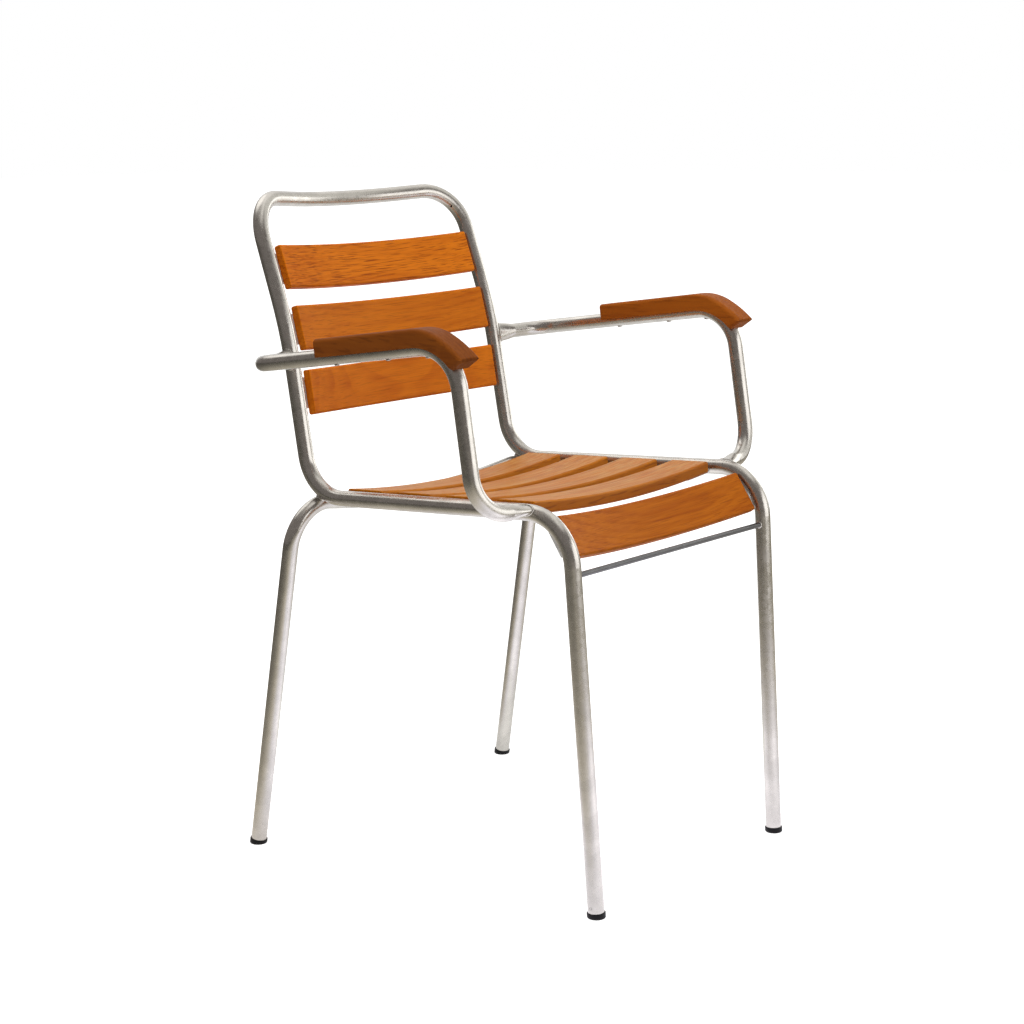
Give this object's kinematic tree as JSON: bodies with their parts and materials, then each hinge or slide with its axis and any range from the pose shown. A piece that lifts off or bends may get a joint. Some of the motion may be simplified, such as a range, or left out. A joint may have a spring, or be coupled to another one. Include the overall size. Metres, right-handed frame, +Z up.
{
  "type": "stacking garden armchair",
  "caption": "Stackable outdoor armchair of bent round steel tube with bowed wooden seat and back slats and carved wooden armrests.",
  "frame": {"origin": "on the floor, under the middle of the chair's outline", "axes": "+X to the sitter's left, -Y the way the chair faces, +Z up"},
  "size_m": [0.603, 0.5963, 0.839],
  "materials": {
    "galvanised_steel": "hot-dip galvanised, satin",
    "seat_wood": "oiled hardwood",
    "back_wood": "oiled hardwood",
    "armrest_wood": "oiled hardwood, darkened by hands",
    "screw_steel": "stainless",
    "black_plastic": "matt"
  },
  "bodies": {
    "root": {"armrest_screws": "screw_steel", "back_slat_bottom": "back_wood", "back_slat_middle": "back_wood", "back_slat_screws": "screw_steel", "back_slat_top": "back_wood", "foot_cap_front_left": "black_plastic", "foot_cap_front_right": "black_plastic", "foot_cap_rear_left": "black_plastic", "foot_cap_rear_right": "black_plastic", "front_cross_rod": "galvanised_steel", "front_slat": "back_wood", "front_slat_screws": "screw_steel", "left_arm_tube": "galvanised_steel", "left_armrest": "armrest_wood", "lug_back_slat_bottom_left": "galvanised_steel", "lug_back_slat_bottom_right": "galvanised_steel", "lug_back_slat_middle_left": "galvanised_steel", "lug_back_slat_middle_right": "galvanised_steel", "lug_back_slat_top_left": "galvanised_steel", "lug_back_slat_top_right": "galvanised_steel", "lug_front_slat_left": "galvanised_steel", "lug_front_slat_right": "galvanised_steel", "lug_seat_slat_1_left": "galvanised_steel", "lug_seat_slat_1_right": "galvanised_steel", "lug_seat_slat_2_left": "galvanised_steel", "lug_seat_slat_2_right": "galvanised_steel", "lug_seat_slat_3_left": "galvanised_steel", "lug_seat_slat_3_right": "galvanised_steel", "lug_seat_slat_4_left": "galvanised_steel", "lug_seat_slat_4_right": "galvanised_steel", "main_frame": "galvanised_steel", "rear_leg_frame": "galvanised_steel", "right_arm_tube": "galvanised_steel", "right_armrest": "armrest_wood", "seat_slat_1": "seat_wood", "seat_slat_2": "seat_wood", "seat_slat_3": "seat_wood", "seat_slat_4": "seat_wood", "seat_slat_screws": "screw_steel"}
  },
  "joints": []
}
